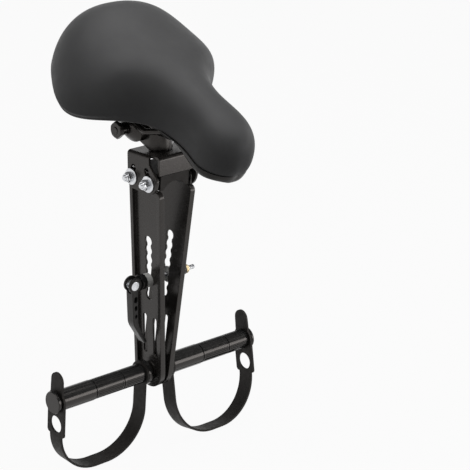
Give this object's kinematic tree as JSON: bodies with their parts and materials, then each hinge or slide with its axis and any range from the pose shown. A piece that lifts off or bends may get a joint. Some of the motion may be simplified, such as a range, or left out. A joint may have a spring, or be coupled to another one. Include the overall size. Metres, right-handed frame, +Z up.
{
  "type": "child bike seat",
  "caption": "Child's bicycle seat for the top tube: a padded saddle on a tilting bracket, slotted pressed legs with a quick-release skewer, and ribbed foot pegs with rubber straps.",
  "frame": {"origin": "on the axis of the clamped top tube, midway along the rubber block", "axes": "+X forwards along the tube towards the saddle's nose, +Y to the rider's left, +Z up"},
  "size_m": [0.2568, 0.2788, 0.4853],
  "materials": {
    "black_rubber": "matte",
    "black_paint": "satin",
    "black_alloy": "satin",
    "zinc": "bright zinc",
    "yellow_zinc": "yellow zinc",
    "black_plastic": "satin",
    "saddle_skin": "satin"
  },
  "bodies": {
    "frame": {"tube_block": "black_rubber", "leg_left": "black_paint", "leg_right": "black_paint", "bracket_bolts": "zinc", "bracket_washers": "zinc", "bracket_nuts": "zinc", "skewer_rod": "zinc", "skewer_washers": "zinc", "cam_block": "black_plastic", "lever_dowel": "zinc", "barrel_nut": "black_alloy", "lock_nut": "yellow_zinc", "peg_bolts": "zinc", "peg_nuts": "black_paint", "peg_left": "black_plastic", "peg_right": "black_plastic", "strap_left": "black_rubber", "strap_right": "black_rubber"},
    "bracket": {"seat_bracket": "black_paint", "post_stub": "black_paint"},
    "clamp": {"clamp_band": "black_paint"},
    "rail_cups": {"inner_cups": "black_paint", "outer_cups": "black_paint", "clamp_bolt": "black_paint", "clamp_collars": "black_paint", "clamp_nuts": "black_paint"},
    "saddle": {"saddle_rails": "black_paint", "saddle_base": "black_plastic", "saddle_cover": "saddle_skin"},
    "lever": {"cam_lever": "black_alloy"}
  },
  "joints": [
    {"name": "bracket_tilt", "type": "hinge", "parent": "frame", "child": "bracket", "pos_m": [0.01385, 0, 0.01645], "axis": [0, -1, 0], "range_deg": [-5, 23]},
    {"name": "clamp_swivel", "type": "hinge", "parent": "bracket", "child": "clamp", "pos_m": [-0.00464, 0, 0.04535], "axis": [-0.0872, 0, 0.9962], "continuous": true},
    {"name": "saddle_tilt", "type": "hinge", "parent": "clamp", "child": "rail_cups", "pos_m": [-0.02714, 0, 0.06617], "axis": [0, -1, 0], "range_deg": [-8, 18]},
    {"name": "saddle_slide", "type": "slide", "parent": "rail_cups", "child": "saddle", "axis": [0.9613, 0, -0.2756], "range_m": [-0.002, 0.025]},
    {"name": "lever_swing", "type": "hinge", "parent": "frame", "child": "lever", "pos_m": [0.0033, -0.0361, -0.10055], "axis": [-1, 0, 0], "range_deg": [0, 165]}
  ]
}
